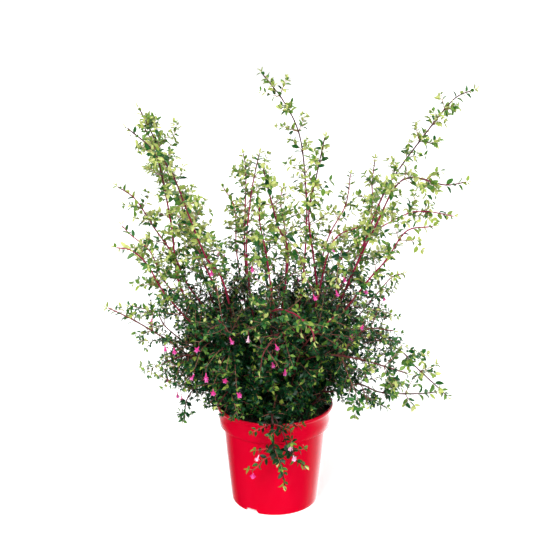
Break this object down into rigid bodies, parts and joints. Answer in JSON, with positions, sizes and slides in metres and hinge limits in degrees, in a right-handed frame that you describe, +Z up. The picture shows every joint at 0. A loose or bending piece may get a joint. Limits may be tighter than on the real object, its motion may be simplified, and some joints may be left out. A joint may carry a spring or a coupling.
{
  "type": "potted fuchsia plant",
  "caption": "Small-leaved fuchsia with thin fanning canes and hanging pink blooms, standing in a red plastic nursery pot of soil.",
  "frame": {"origin": "middle of the pot's underside, on the surface that the pot stands on", "axes": "+Z up along the pot's axis, -Y towards the side seen from the front, +X to the right from there"},
  "size_m": [0.6014, 0.447, 0.7054],
  "materials": {
    "pot": "gloss",
    "soil": "matte",
    "foliage": "satin",
    "bloom": "satin"
  },
  "bodies": {
    "root": {"blooms_01": "bloom", "blooms_02": "bloom", "blooms_03": "bloom", "blooms_04": "bloom", "blooms_05": "bloom", "blooms_06": "bloom", "blooms_07": "bloom", "blooms_08": "bloom", "blooms_09": "bloom", "blooms_10": "bloom", "blooms_11": "bloom", "blooms_12": "bloom", "blooms_13": "bloom", "blooms_14": "bloom", "blooms_15": "bloom", "blooms_16": "bloom", "blooms_17": "bloom", "blooms_18": "bloom", "blooms_19": "bloom", "blooms_20": "bloom", "blooms_21": "bloom", "blooms_22": "bloom", "blooms_23": "bloom", "blooms_24": "bloom", "blooms_25": "bloom", "blooms_26": "bloom", "blooms_27": "bloom", "blooms_28": "bloom", "blooms_29": "bloom", "blooms_30": "bloom", "blooms_31": "bloom", "blooms_32": "bloom", "blooms_33": "bloom", "blooms_34": "bloom", "pot": "pot", "soil": "soil", "stem_centre_front": "foliage", "stem_centre_tall": "foliage", "stem_front_arch": "foliage", "stem_front_high": "foliage", "stem_front_left": "foliage", "stem_front_middle": "foliage", "stem_front_trail": "foliage", "stem_left_arch": "foliage", "stem_left_front": "foliage", "stem_left_low": "foliage", "stem_left_rear": "foliage", "stem_left_tall": "foliage", "stem_middle_left": "foliage", "stem_rear_left": "foliage", "stem_rear_low_left": "foliage", "stem_rear_low_right": "foliage", "stem_rear_middle": "foliage", "stem_rear_right": "foliage", "stem_right_arch": "foliage", "stem_right_front": "foliage", "stem_right_low": "foliage", "stem_right_middle": "foliage", "stem_right_rear": "foliage", "stem_right_tall": "foliage"}
  },
  "joints": []
}
